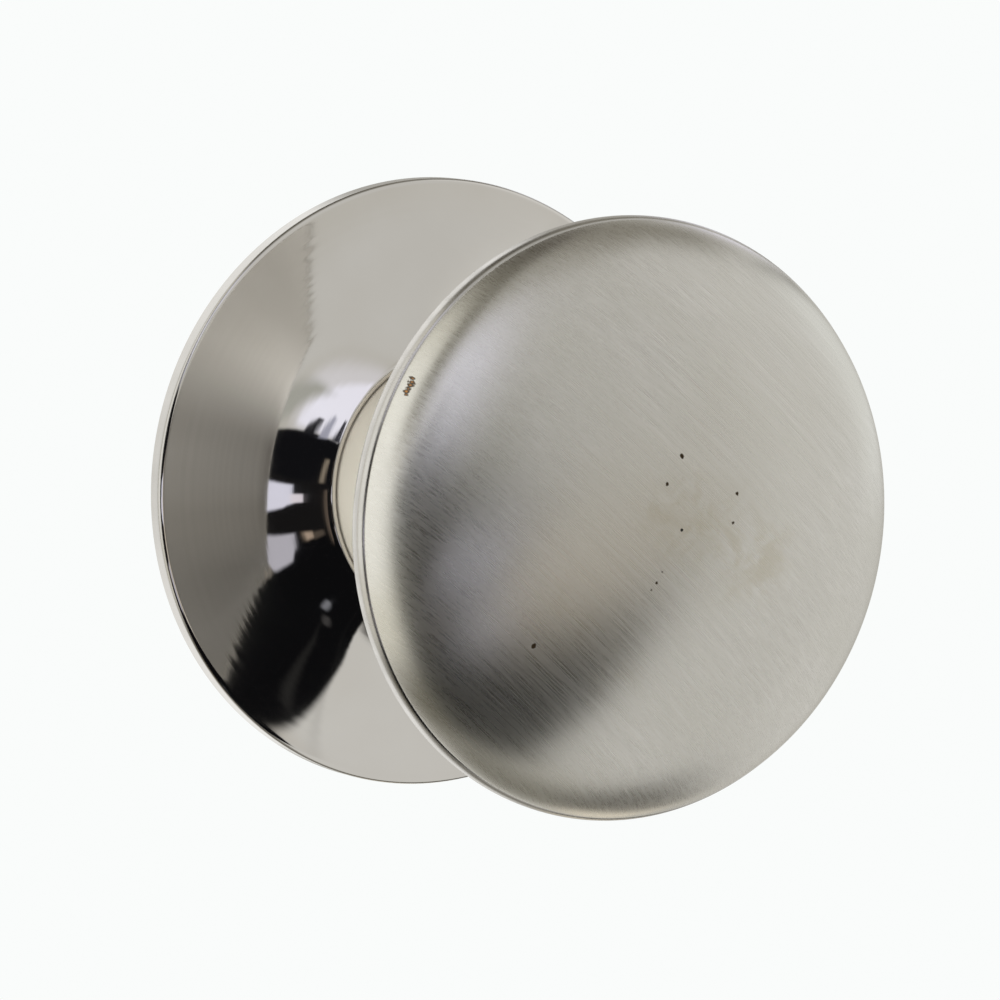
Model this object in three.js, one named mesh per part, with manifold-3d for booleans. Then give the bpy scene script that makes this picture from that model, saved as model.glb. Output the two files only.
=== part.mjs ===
// Door knob on a round concealed-fix rose: one side of a sprung mortice knob set.
// Millimetres. The door face is the plane y = 0, the knob stands out along -Y, +Z is up.
// "f" below is the distance forward of the door face (f = -y) and "r" the distance from the knob's axis.
import * as THREE from 'three';
import { mergeVertices } from 'three/addons/utils/BufferGeometryUtils.js';
import Module from 'manifold-3d';

const wasm = await Module();
wasm.setup();

// ---------------------------------------------------------------- driving dimensions
const GAP = 0.3;
const FINE = 48;
const COARSE = 30;

const ROSE = { r: 32.5, edge: 2.2, wall: 0.8, collarR: 15.15, collarF: 7.8, bore: 14.75 };
const PLATE = { r: 25.5, t: 1.5, bore: 14.1, screwR: 20.8, rivetR: 16.6 };
const HEAD = { r: 30.6, domeF: 43.4, domeH: 12, edgeAngle: 7, wall: 1.2, lipR: 30.9, lipF: 43.2 };
const NECK = { r: 14.4, wall: 1.5, back: 3.9, foot: 17.4 };
const STEM = { journal: 9.0, body: 12.6, back: -14.0, shoulder: 3.4, front: 26.0, stud: 5.0, studF: 34.0 };
const SOCKET = { across: 8.4, depth: 20.0 };
const SPINDLE = { across: 7.8, front: 19.4, back: -53.0, chamfer: 1.0 };
const CUP = { r: 13.7, wall: 0.8, back: -10.8, flangeR: 18.6, flangeF: 1.8, flangeT: 0.7 };
const BUSH = { bore: 9.3, r: 12.5, back: -1.2, front: 2.3 };
const SPRING = { r: 11.2, wire: 0.7, turns: 3, front: -2.2, pitch: 1.6, bend: 6, tipF: 0.7, tipB: -9.2 };
const DRIVER = { inner: 9.3, ring: 10.45, lobe: 12.5, halfLobe: 25, front: -8.0, back: -9.6, key: 2.4 };
const CLIP = { groove: 8.0, inner: 8.3, back: -12.8, front: -11.9 };
const PIN = { r: 0.8, at: 11.6, front: -7.6 };
const GRUB = { f: 10.8, r: 2.5, tip: 4.2, length: 8.2, socket: 1.25 };
const SCREW = { head: 3.3, shank: 1.6, length: 20 };

// ---------------------------------------------------------------- helpers
const rad = (degrees) => (degrees * Math.PI) / 180;

function signedVolume(geometry) {
  const p = geometry.attributes.position;
  const index = geometry.index.array;
  const [a, b, c] = [new THREE.Vector3(), new THREE.Vector3(), new THREE.Vector3()];
  let sum = 0;
  for (let i = 0; i < index.length; i += 3) {
    a.fromBufferAttribute(p, index[i]);
    b.fromBufferAttribute(p, index[i + 1]);
    c.fromBufferAttribute(p, index[i + 2]);
    sum += a.dot(b.cross(c));
  }
  return sum / 6;
}

// Position-only, welded, faces outward.
function weld(geometry) {
  const bare = new THREE.BufferGeometry();
  bare.setAttribute('position', geometry.attributes.position.clone());
  if (geometry.index) bare.setIndex(Array.from(geometry.index.array));
  const out = mergeVertices(bare, 1e-4);
  const kept = [];
  const index = out.index.array;
  for (let i = 0; i < index.length; i += 3) {
    const [a, b, c] = [index[i], index[i + 1], index[i + 2]];
    if (a !== b && b !== c && a !== c) kept.push(a, b, c);
  }
  out.setIndex(kept);
  if (signedVolume(out) < 0) {
    for (let i = 0; i < kept.length; i += 3) [kept[i + 1], kept[i + 2]] = [kept[i + 2], kept[i + 1]];
    out.setIndex(kept);
  }
  return out;
}

function solid(geometry) {
  const g = weld(geometry);
  const vertProperties = new Float32Array(g.attributes.position.array);
  const triVerts = new Uint32Array(g.index.array);
  return new wasm.Manifold(new wasm.Mesh({ numProp: 3, vertProperties, triVerts }));
}

function fromSolid(manifold) {
  const mesh = manifold.getMesh();
  const g = new THREE.BufferGeometry();
  g.setAttribute('position', new THREE.BufferAttribute(new Float32Array(mesh.vertProperties), 3));
  g.setIndex(Array.from(mesh.triVerts));
  return g;
}

function cut(geometry, tools) {
  return fromSolid(tools.reduce((body, tool) => body.subtract(solid(tool)), solid(geometry)));
}

function join(geometry, others) {
  return fromSolid(others.reduce((body, other) => body.add(solid(other)), solid(geometry)));
}

// A turned body: [r, f] points, round the knob's axis.
function turned(profile, segments = COARSE) {
  const points = profile.map(([r, f]) => new THREE.Vector2(r, -f));
  return new THREE.LatheGeometry(points, segments);
}

// A turned ring: the same, with the profile closed on itself.
function turnedRing(profile, segments = COARSE) {
  return turned([...profile, profile[0]], segments);
}

// A plain ring between two radii and two planes.
function ring(inner, outer, back, front, segments = COARSE) {
  return turnedRing([[inner, back], [outer, back], [outer, front], [inner, front]], segments);
}

// A cylinder along the knob's axis direction, at an angle and radius around it.
function rod(r, back, front, at = 0, angle = 0, segments = 16) {
  const g = new THREE.CylinderGeometry(r, r, front - back, segments);
  g.translate(at * Math.cos(rad(angle)), -(front + back) / 2, at * Math.sin(rad(angle)));
  return g;
}

// A turned body along the knob's axis direction, moved to an angle and radius around it.
function turnedAt(profile, at, angle, segments = 16) {
  const g = turned(profile, segments);
  g.translate(at * Math.cos(rad(angle)), 0, at * Math.sin(rad(angle)));
  return g;
}

// A square or hexagonal bar along the axis, flats facing +-Z.
function bar(across, sides, back, front) {
  const g = new THREE.CylinderGeometry(across / 2 / Math.cos(Math.PI / sides),
    across / 2 / Math.cos(Math.PI / sides), front - back, sides);
  g.rotateY(Math.PI / sides);
  g.translate(0, -(front + back) / 2, 0);
  return g;
}

// Points of a smooth curve through [r, f] control points.
function smooth(points, count) {
  const curve = new THREE.CatmullRomCurve3(points.map(([r, f]) => new THREE.Vector3(r, f, 0)), false, 'centripetal');
  return curve.getPoints(count).map((p) => [p.x, p.y]);
}

// The same curve moved sideways by a distance (positive: to the left of its direction).
function offset(points, distance) {
  return points.map((p, i) => {
    const a = points[Math.max(i - 1, 0)];
    const b = points[Math.min(i + 1, points.length - 1)];
    const length = Math.hypot(b[0] - a[0], b[1] - a[1]);
    return [p[0] - (distance * (b[1] - a[1])) / length, p[1] + (distance * (b[0] - a[0])) / length];
  });
}

const FINISH = {
  satin_nickel: [0xb5b0a6, 0.38, 0.95],
  polished_nickel: [0xc9c4ba, 0.1, 1.0],
  zinc_steel: [0xa9adb0, 0.42, 0.9],
  bright_steel: [0x9a9c9e, 0.3, 0.95],
  brass: [0xb99a55, 0.32, 0.95],
  nylon: [0xe8e4da, 0.55, 0.0],
  black_oxide: [0x2b2b2d, 0.45, 0.8],
  spring_steel: [0x6f7276, 0.35, 0.9],
};

const part = new THREE.Group();
part.name = 'door_knob';

function add(name, geometry, finish) {
  const [color, roughness, metalness] = FINISH[finish];
  const g = weld(geometry);
  g.computeVertexNormals();
  const material = new THREE.MeshStandardMaterial({ color, roughness, metalness });
  material.name = finish;
  const mesh = new THREE.Mesh(g, material);
  mesh.name = name;
  part.add(mesh);
}

// ---------------------------------------------------------------- fixed to the door
// Steel plate, countersunk for four screws, drilled for three rivets and for the spring cup.
const SCREW_ANGLES = [45, 135, 225, 315];
const RIVET_ANGLES = [90, 210, 330];

function basePlate() {
  const plate = ring(PLATE.bore, PLATE.r, 0, PLATE.t, FINE);
  const sinks = SCREW_ANGLES.map((angle) => turnedAt([
    [0, -1], [SCREW.shank + 0.6, -1], [SCREW.shank + 0.6, 0],
    [SCREW.head + 0.7, PLATE.t], [SCREW.head + 0.7, 3], [0, 3],
  ], PLATE.screwR, angle, 20));
  const holes = RIVET_ANGLES.map((angle) => rod(1.3, -1, 3, PLATE.rivetR, angle, 14));
  return cut(plate, [...sinks, ...holes]);
}
add('base_plate', basePlate(), 'zinc_steel');

// Nylon ring that grips the inside of the cover, with three gripping bumps.
function clipRing() {
  const body = ring(PLATE.r + GAP, 31.1, 0.1, 1.1, FINE);
  const bumps = [30, 150, 270].map((angle) => rod(1.6, 0.25, 0.95, 29.75, angle, 20));
  return join(body, bumps);
}
add('clip_ring', clipRing(), 'nylon');

// Countersunk wood screws with a cross recess and a pointed shank.
function woodScrew(angle) {
  const top = PLATE.t - 0.05;
  const body = turnedAt([
    [0, top], [SCREW.head, top], [SCREW.shank + 0.05, 0], [SCREW.shank, -0.3],
    [SCREW.shank, top - SCREW.length + 4], [0, top - SCREW.length],
  ], PLATE.screwR, angle, 18);
  const blades = [0, 90].map((turn) => {
    const g = new THREE.BoxGeometry(3.6, 1.6, 0.7);
    g.rotateY(rad(turn + angle));
    g.translate(PLATE.screwR * Math.cos(rad(angle)), -top, PLATE.screwR * Math.sin(rad(angle)));
    return g;
  });
  return cut(body, blades);
}
SCREW_ANGLES.forEach((angle, i) => add(`wood_screw_${i + 1}`, woodScrew(angle), 'zinc_steel'));

// Pressed cup in the bore of the door; its flange lies on the front of the plate.
function springCup() {
  const inner = CUP.r - CUP.wall;
  const flangeTop = CUP.flangeF + CUP.flangeT;
  const body = turnedRing([
    [9.6, CUP.back], [CUP.r - 0.8, CUP.back], [CUP.r, CUP.back + 0.8], [CUP.r, CUP.flangeF],
    [CUP.flangeR, CUP.flangeF], [CUP.flangeR, flangeTop], [inner, flangeTop],
    [inner, CUP.back + CUP.wall], [9.6, CUP.back + CUP.wall],
  ], 36);
  const rivets = RIVET_ANGLES.map((angle) => rod(1.3, 0, 4, PLATE.rivetR, angle, 14));
  const pins = [0, 180].map((angle) => rod(PIN.r + GAP, -12, -9.9, PIN.at, angle, 14));
  return cut(body, [...rivets, ...pins]);
}
add('spring_cup', springCup(), 'zinc_steel');

function rivet(angle) {
  const flangeTop = CUP.flangeF + CUP.flangeT;
  return turnedAt([
    [0, 0.05], [1.0, 0.05], [1.0, flangeTop + GAP], [1.5, flangeTop + GAP],
    [1.5, flangeTop + 0.5], [1.1, flangeTop + 0.8], [0, flangeTop + 0.95],
  ], PLATE.rivetR, angle, 14);
}
RIVET_ANGLES.forEach((angle, i) => add(`cup_rivet_${i + 1}`, rivet(angle), 'bright_steel'));

// Pins standing in the back wall of the cup, left and right, in the way of the driver's lobes.
function stopPin(angle) {
  return turnedAt([
    [0, CUP.back], [PIN.r, CUP.back], [PIN.r, PIN.front - 0.2], [PIN.r - 0.2, PIN.front], [0, PIN.front],
  ], PIN.at, angle, 14);
}
[0, 180].forEach((angle, i) => add(`stop_pin_${i + 1}`, stopPin(angle), 'bright_steel'));

// Brass bush in the mouth of the cup; the fixed leg of the spring sits in its blind hole.
function bearingBush() {
  const body = turnedRing([
    [BUSH.bore, BUSH.back], [BUSH.r, BUSH.back], [BUSH.r, BUSH.front - 0.3], [BUSH.r - 0.3, BUSH.front],
    [BUSH.bore + 0.4, BUSH.front], [BUSH.bore, BUSH.front - 0.4],
  ], 36);
  return cut(body, [rod(SPRING.wire + GAP, -3, SPRING.tipF + GAP, SPRING.r, 90 - SPRING.bend, 14)]);
}
add('bearing_bush', bearingBush(), 'brass');
add('thrust_washer', ring(STEM.journal + GAP, 12.3, BUSH.front + GAP, STEM.shoulder - GAP), 'nylon');

// Torsion spring: three coils, one leg forward into the bush and one leg back into the driver.
function springPath() {
  const at = (degrees, f) => new THREE.Vector3(
    SPRING.r * Math.cos(rad(degrees)), -f, SPRING.r * Math.sin(rad(degrees)));
  const { turns, front, pitch, bend, tipF, tipB } = SPRING;
  const back = front - turns * pitch;
  const points = [at(90 - bend, tipF), at(90 - bend, tipF - 1), at(90 - bend, front + 1.1), at(90 - bend * 0.7, front + 0.35)];
  const steps = turns * 20;
  for (let i = 0; i <= steps; i++) {
    points.push(at(90 + (360 * turns * i) / steps, front - (turns * pitch * i) / steps));
  }
  const end = 90 + 360 * turns;
  points.push(at(end + bend * 0.7, back - 0.35), at(end + bend, back - 1.1), at(end + bend, tipB + 0.6), at(end + bend, tipB));
  return new THREE.CatmullRomCurve3(points, false, 'centripetal');
}

// A round wire along a path, closed at both ends.
function wire(path, radius, steps, sides) {
  const tube = new THREE.TubeGeometry(path, steps, radius, sides, false);
  const position = Array.from(tube.attributes.position.array);
  const index = Array.from(tube.index.array);
  for (const [t, base, flip] of [[0, 0, false], [1, steps * (sides + 1), true]]) {
    const centre = position.length / 3;
    position.push(...path.getPointAt(t).toArray());
    for (let i = 0; i < sides; i++) {
      index.push(centre, base + i + (flip ? 1 : 0), base + i + (flip ? 0 : 1));
    }
  }
  const g = new THREE.BufferGeometry();
  g.setAttribute('position', new THREE.Float32BufferAttribute(position, 3));
  g.setIndex(index);
  return g;
}
add('return_spring', wire(springPath(), SPRING.wire, 96, 6), 'spring_steel');

// ---------------------------------------------------------------- rose cover, slides forward on the neck
// Front surface from the rim in to the collar: one hollow curve, almost flat at the rim and steep at the collar.
const ROSE_FACE = [
  [ROSE.r - 0.55, ROSE.edge], [30.5, 2.32], [28.5, 2.57], [26.5, 2.91], [24.5, 3.34], [22.5, 3.87], [21.0, 4.37],
  [19.5, 5.02], [18.0, 5.84], [16.5, 6.79], [ROSE.collarR, ROSE.collarF - 0.01],
];

function roseCover() {
  const face = smooth(ROSE_FACE, 14);
  const back = offset(face, ROSE.wall).map(([r, f]) => [Math.min(r, ROSE.r - ROSE.wall), f]);
  const skirt = [[ROSE.r - ROSE.wall, 0], [ROSE.r, 0], [ROSE.r, 1.3], [ROSE.r - 0.16, 1.85]];
  const lip = [[14.98, ROSE.collarF + 0.05], [ROSE.bore, ROSE.collarF - 0.12]];
  const inside = back.filter(([r]) => r > ROSE.bore + 0.3).reverse();
  return turnedRing([...skirt, ...face, ...lip, [ROSE.bore, 6.6], ...inside], FINE);
}
add('rose_cover', roseCover(), 'polished_nickel');

// ---------------------------------------------------------------- the knob, turns with the spindle
// Outline of the domed front: part of a flattened sphere.
function domePoint(degrees) {
  const start = rad(HEAD.edgeAngle);
  return [
    (HEAD.r * Math.cos(rad(degrees))) / Math.cos(start),
    HEAD.domeF + HEAD.domeH * (Math.sin(rad(degrees)) - Math.sin(start)),
  ];
}

const DOME_EDGE = 7.6;
function domeShell() {
  const outer = [];
  for (const degrees of [DOME_EDGE, 12, 18, 26, 36, 47, 58, 69, 80]) outer.push(domePoint(degrees));
  const inner = offset(outer, HEAD.wall);
  const edge = [inner[0][0], outer[0][1]];
  const top = domePoint(90)[1];
  return turned([[0, top], ...outer.slice().reverse(), edge, ...inner.slice(1), [0, top - HEAD.wall]], FINE);
}
add('dome_shell', domeShell(), 'satin_nickel');

// Polished underside, from the rolled lip round the dome's edge down into the neck.
const BOWL = [
  [30.0, 40.6], [28.7, 38.9], [26.8, 36.7], [24.5, 34.2], [22.1, 31.6], [19.8, 28.9], [17.8, 26.1],
  [16.1, 23.1], [14.95, 20.1], [NECK.r, NECK.foot],
];

function backShell() {
  const { lipR, lipF } = HEAD;
  const lip = [
    [29.3, lipF], [lipR - 0.45, lipF], [lipR - 0.15, lipF - 0.2], [lipR, lipF - 0.75], [lipR, lipF - 1.25],
    [lipR - 0.15, lipF - 1.75], [lipR - 0.45, lipF - 2.15],
  ];
  const bowl = smooth(BOWL, 10);
  const inside = offset(bowl, -1.4).reverse();
  inside[0] = [NECK.r - NECK.wall, NECK.foot];
  const neck = [[NECK.r, NECK.back + 0.3], [NECK.r - 0.3, NECK.back], [NECK.r - NECK.wall, NECK.back]];
  const body = turnedRing([...lip, ...bowl, ...neck, ...inside], FINE);
  const hole = new THREE.CylinderGeometry(GRUB.r + 0.5, GRUB.r + 0.5, 6, 20);
  hole.rotateX(Math.PI / 2);
  hole.translate(0, -GRUB.f, -14);
  return cut(body, [hole]);
}
add('back_shell', backShell(), 'polished_nickel');

// Steel hub inside the neck: journal, shoulder, stud, square socket, key slots and screw hole.
function stemBody() {
  const { journal, body, back, shoulder, front, stud, studF } = STEM;
  const turnedStem = turned([
    [0, back], [journal - 0.5, back], [journal, back + 0.5], [journal, CLIP.back - GAP], [CLIP.groove, CLIP.back - GAP],
    [CLIP.groove, CLIP.front + GAP], [journal, CLIP.front + GAP], [journal, shoulder], [body, shoulder],
    [body, front - 0.6], [body - 0.6, front], [stud, front], [stud, studF - 0.6], [stud - 0.6, studF], [0, studF],
  ], COARSE);
  const screwHole = new THREE.CylinderGeometry(GRUB.r + GAP, GRUB.r + GAP, 14, 20);
  screwHole.rotateX(Math.PI / 2);
  screwHole.translate(0, -GRUB.f, -9);
  const slots = [0, 180].map((angle) => {
    const g = new THREE.BoxGeometry(3, 20, DRIVER.key + 2 * GAP);
    g.translate(7.9 + 1.5, 10 - DRIVER.front - GAP, 0);
    g.rotateY(rad(angle));
    return g;
  });
  return cut(turnedStem, [bar(SOCKET.across, 4, back - 5, SOCKET.depth), screwHole, ...slots]);
}
add('stem', stemBody(), 'bright_steel');

// Lobed ring keyed to the stem; the top lobe carries the moving leg of the spring.
function springDriver() {
  const { inner, ring: hub, lobe, halfLobe, front, back, key } = DRIVER;
  const sector = (angle) => {
    const shape = new THREE.Shape();
    shape.moveTo((inner + 0.3) * Math.cos(rad(angle - halfLobe)), (inner + 0.3) * Math.sin(rad(angle - halfLobe)));
    shape.absarc(0, 0, lobe, rad(angle - halfLobe), rad(angle + halfLobe), false);
    shape.absarc(0, 0, inner + 0.3, rad(angle + halfLobe), rad(angle - halfLobe), true);
    const g = new THREE.ExtrudeGeometry(shape, { depth: front - back, bevelEnabled: false, curveSegments: 10 });
    g.rotateX(-Math.PI / 2);
    g.scale(1, 1, -1);
    g.translate(0, -front, 0);
    return g;
  };
  const keys = [0, 180].map((angle) => {
    const g = new THREE.BoxGeometry(1.6, front - back, key);
    g.translate(9.0, -(front + back) / 2, 0);
    g.rotateY(rad(angle));
    return g;
  });
  const body = join(ring(inner, hub, back, front), [sector(90), sector(270), ...keys]);
  return cut(body, [rod(SPRING.wire + 0.25, back - 1, front + 1, SPRING.r, 90 + SPRING.bend, 14)]);
}
add('spring_driver', springDriver(), 'zinc_steel');

add('end_washer', ring(STEM.journal + GAP, 12.5, -11.6, -11.1), 'bright_steel');

// External circlip with two eyes either side of its gap.
function circlip() {
  const body = ring(CLIP.inner, 10.3, CLIP.back, CLIP.front);
  const eyes = [252, 288].map((angle) => rod(1.45, CLIP.back, CLIP.front, 9.9, angle, 18));
  const gap = new THREE.BoxGeometry(3.2, 4, 6);
  gap.translate(0, -(CLIP.back + CLIP.front) / 2, -10);
  const holes = [252, 288].map((angle) => rod(0.6, CLIP.back - 1, CLIP.front + 1, 9.9, angle, 12));
  const bore = rod(CLIP.inner, CLIP.back - 1, CLIP.front + 1, 0, 0, 36);
  return cut(join(body, eyes), [gap, bore, ...holes]);
}
add('circlip', circlip(), 'black_oxide');

// Square spindle with chamfered ends.
function spindle() {
  const r = SPINDLE.across / 2 / Math.cos(Math.PI / 4);
  const { back, front, chamfer } = SPINDLE;
  const g = turned([
    [0, back], [r - chamfer, back], [r, back + chamfer], [r, front - chamfer], [r - chamfer, front], [0, front],
  ], 4);
  g.rotateY(Math.PI / 4);
  return g;
}
add('spindle', spindle(), 'zinc_steel');

// Socket-head grub screw, pointing up at the spindle from the underside of the neck.
function grubScrew() {
  const tail = GRUB.tip + GRUB.length;
  const body = new THREE.LatheGeometry([
    new THREE.Vector2(0, GRUB.tip), new THREE.Vector2(GRUB.r - 1.1, GRUB.tip),
    new THREE.Vector2(GRUB.r, GRUB.tip + 1.1), new THREE.Vector2(GRUB.r, tail - 0.3),
    new THREE.Vector2(GRUB.r - 0.3, tail), new THREE.Vector2(0, tail),
  ], 20);
  const key = new THREE.CylinderGeometry(GRUB.socket, GRUB.socket, 5, 6);
  key.translate(0, tail, 0);
  const g = cut(body, [key]);
  g.rotateX(-Math.PI / 2);
  g.translate(0, -GRUB.f, 0);
  return g;
}
add('grub_screw', grubScrew(), 'black_oxide');

// Dish that stiffens the hollow head, and the nut that holds it on the stud.
add('core_disc', turnedRing([
  [STEM.stud + GAP, 26.3], [12.5, 26.3], [24.6, 38.9], [25.5, 40.4], [25.5, 46.8], [24.3, 46.8], [24.3, 40.8],
  [23.6, 39.6], [12.0, 27.6], [STEM.stud + GAP, 27.6],
], 36), 'zinc_steel');

function coreNut() {
  const body = bar(15, 6, 27.9, 32.9);
  return cut(body, [rod(STEM.stud + GAP, 20, 40, 0, 0, 32)]);
}
add('core_nut', coreNut(), 'zinc_steel');

export default part;
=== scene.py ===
"""Looks of the door knob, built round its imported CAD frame. Lengths in the helpers are millimetres."""
from math import cos, pi, radians, sin, sqrt, tan

import bpy
import bmesh
from mathutils import Matrix, Vector


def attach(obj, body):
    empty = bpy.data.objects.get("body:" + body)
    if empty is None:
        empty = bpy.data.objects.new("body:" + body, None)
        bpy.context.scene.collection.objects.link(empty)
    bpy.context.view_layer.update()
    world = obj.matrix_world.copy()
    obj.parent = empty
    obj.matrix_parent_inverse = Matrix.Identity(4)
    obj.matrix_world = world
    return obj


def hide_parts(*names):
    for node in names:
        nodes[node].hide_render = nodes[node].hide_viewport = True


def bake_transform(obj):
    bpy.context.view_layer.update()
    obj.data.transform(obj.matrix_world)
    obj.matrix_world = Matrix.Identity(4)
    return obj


MM = 0.001
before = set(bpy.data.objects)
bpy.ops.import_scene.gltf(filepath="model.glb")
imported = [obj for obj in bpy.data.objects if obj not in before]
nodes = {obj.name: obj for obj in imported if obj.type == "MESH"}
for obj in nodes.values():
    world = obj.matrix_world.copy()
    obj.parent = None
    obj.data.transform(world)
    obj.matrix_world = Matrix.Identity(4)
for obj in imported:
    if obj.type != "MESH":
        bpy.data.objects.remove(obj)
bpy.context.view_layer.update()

# ---------------------------------------------------------------- driving dimensions, as in the CAD part
ROSE_R, ROSE_EDGE, ROSE_WALL = 32.5, 2.2, 0.8
COLLAR_R, COLLAR_F, COLLAR_BORE = 15.15, 7.8, 14.55
DOME_R, DOME_F, DOME_H, DOME_START = 30.6, 43.4, 12.0, 7.0
DOME_EDGE, DOME_WALL = 7.6, 1.2
NECK_R, NECK_WALL, NECK_BACK, NECK_FOOT = 14.4, 1.5, 3.9, 17.4
BOWL = [(30.0, 40.6), (28.7, 38.9), (26.8, 36.7), (24.5, 34.2), (22.1, 31.6), (19.8, 28.9),
        (17.8, 26.1), (16.1, 23.1), (14.95, 20.1), (NECK_R, NECK_FOOT)]
LIP = [(30.3, 43.5), (30.64, 43.34), (30.86, 42.9), (30.9, 42.3), (30.84, 41.7), (30.66, 41.3),
       (30.38, 40.98)]
BEAD_FOOT = 40.9
BOWL_WALL = 1.4
GRAIN, GRAIN_TILE = radians(-43), 0.07
PLATE_R, PLATE_T, PLATE_BORE = 25.5, 1.5, 14.1
SCREW_AT, SCREW_ANGLES = 20.8, (45, 135, 225, 315)
RIVET_AT, RIVET_ANGLES, RIVET_HOLE_R = 16.6, (90, 210, 330), 1.06
CLIP_IN, CLIP_OUT, CLIP_BACK, CLIP_FRONT = 25.8, 31.1, 0.1, 1.1
BUMP_AT, BUMP_R, BUMP_ANGLES = 29.75, 1.6, (30, 150, 270)
GRUB_F = 10.8
SPRING_R, SPRING_WIRE, SPRING_TURNS = 11.2, 0.7, 3
SPRING_FRONT, SPRING_PITCH, SPRING_BEND = -2.2, 1.6, 6.0
SPRING_BACK = SPRING_FRONT - SPRING_TURNS * SPRING_PITCH
SPRING_TIP_FRONT, SPRING_TIP_BACK = 0.7, -9.2
ROUND = 192


# ---------------------------------------------------------------- profiles, [r, f] points in millimetres
def arc(start, corner, end, steps=8):
    """Points of a curve from start to end that leaves towards corner and arrives from it."""
    out = []
    for i in range(steps + 1):
        t = i / steps
        a, b, c = (1 - t) ** 2, 2 * t * (1 - t), t * t
        out.append(tuple(a * p + b * q + c * r for p, q, r in zip(start, corner, end)))
    return out


def line(start, end, step=0.5):
    """Points along a straight line, without its last point."""
    count = max(1, round(sqrt((end[0] - start[0]) ** 2 + (end[1] - start[1]) ** 2) / step))
    return [(start[0] + (end[0] - start[0]) * i / count, start[1] + (end[1] - start[1]) * i / count)
            for i in range(count)]


def spline(points, per_span=8):
    """Centripetal Catmull-Rom curve through the points."""
    p = [Vector(q) for q in points]
    p = [p[0] * 2 - p[1]] + p + [p[-1] * 2 - p[-2]]
    out = []
    for a, b, c, d in zip(p, p[1:], p[2:], p[3:]):
        t0 = 0.0
        t1 = t0 + sqrt((b - a).length)
        t2 = t1 + sqrt((c - b).length)
        t3 = t2 + sqrt((d - c).length)
        for i in range(per_span):
            t = t1 + (t2 - t1) * i / per_span
            ab = a * ((t1 - t) / (t1 - t0)) + b * ((t - t0) / (t1 - t0))
            bc = b * ((t2 - t) / (t2 - t1)) + c * ((t - t1) / (t2 - t1))
            cd = c * ((t3 - t) / (t3 - t2)) + d * ((t - t2) / (t3 - t2))
            abc = ab * ((t2 - t) / (t2 - t0)) + bc * ((t - t0) / (t2 - t0))
            bcd = bc * ((t3 - t) / (t3 - t1)) + cd * ((t - t1) / (t3 - t1))
            point = abc * ((t2 - t) / (t2 - t1)) + bcd * ((t - t1) / (t2 - t1))
            out.append((point.x, point.y))
    return out + [tuple(points[-1])]


def offset(points, distance):
    """The same curve moved sideways, positive to the left of its direction."""
    out = []
    for i, p in enumerate(points):
        a, b = points[max(i - 1, 0)], points[min(i + 1, len(points) - 1)]
        length = sqrt((b[0] - a[0]) ** 2 + (b[1] - a[1]) ** 2)
        out.append((p[0] - distance * (b[1] - a[1]) / length, p[1] + distance * (b[0] - a[0]) / length))
    return out


# ---------------------------------------------------------------- mesh helpers
def mesh_object(name, verts, faces, sharp=35):
    """A smooth-shaded object from points in millimetres, with edges kept sharp above an angle."""
    mesh = bpy.data.meshes.new(name)
    mesh.from_pydata([tuple(c * MM for c in v) for v in verts], [], faces)
    bm = bmesh.new()
    bm.from_mesh(mesh)
    bmesh.ops.remove_doubles(bm, verts=bm.verts, dist=1e-6)
    bmesh.ops.recalc_face_normals(bm, faces=bm.faces)
    bm.to_mesh(mesh)
    bm.free()
    mesh.shade_smooth()
    mesh.set_sharp_from_angle(angle=radians(sharp))
    obj = bpy.data.objects.new(name, mesh)
    bpy.context.scene.collection.objects.link(obj)
    return obj


def ring_faces(rows, count, closed=False):
    """Quads between neighbouring rings of count points; closed also joins the last ring to the first."""
    faces = []
    for i in range(rows if closed else rows - 1):
        j = (i + 1) % rows
        for k in range(count):
            m = (k + 1) % count
            faces.append((i * count + k, i * count + m, j * count + m, j * count + k))
    return faces


def turned(name, profile, segments=ROUND, at=(0, 0), closed=True, sharp=35):
    """A lathe body round the knob's axis direction; a closed profile makes a ring."""
    verts = []
    for r, f in profile:
        for k in range(segments):
            turn = 2 * pi * k / segments
            verts.append((at[0] + r * cos(turn), -f, at[1] + r * sin(turn)))
    return mesh_object(name, verts, ring_faces(len(profile), segments, closed), sharp)


def polar(radius, angle):
    """x and z of a place on a circle round the knob's axis, angle in degrees."""
    return radius * cos(radians(angle)), radius * sin(radians(angle))


def mesh_rod(name, radius, length, sides):
    """A capped cylinder along Y, centred on the origin."""
    half = length / 2
    profile = [(0.0, -half), (radius, -half), (radius, half), (0.0, half)]
    return turned(name, profile, sides, closed=False)


def hollow(obj, cutters, sharp=35):
    """Cuts the cutters out of obj and removes them."""
    for cutter in cutters:
        modifier = obj.modifiers.new("cut", "BOOLEAN")
        modifier.object = cutter
        modifier.operation = "DIFFERENCE"
        modifier.solver = "EXACT"
    bpy.context.view_layer.update()
    cut = bpy.data.meshes.new_from_object(obj.evaluated_get(bpy.context.evaluated_depsgraph_get()))
    obj.modifiers.clear()
    obj.data = cut
    cut.shade_smooth()
    cut.set_sharp_from_angle(angle=radians(sharp))
    for cutter in cutters:
        bpy.data.objects.remove(cutter)
    return obj


def dress(obj, body, material, slot, *replaced):
    """Gives a piece its material and body, and hides the CAD nodes it stands for."""
    obj.data.materials.clear()
    obj.data.materials.append(material)
    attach(obj, body)
    if replaced:
        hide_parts(*replaced)
    return obj


# ---------------------------------------------------------------- node helpers
def node(tree, kind, inputs=None, **settings):
    """A new node; an input given as a socket is linked, anything else is set."""
    made = tree.nodes.new(kind)
    for key, value in settings.items():
        setattr(made, key, value)
    for key, value in (inputs or {}).items():
        if isinstance(value, bpy.types.NodeSocket):
            tree.links.new(value, made.inputs[key])
        else:
            made.inputs[key].default_value = value
    return made


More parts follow.
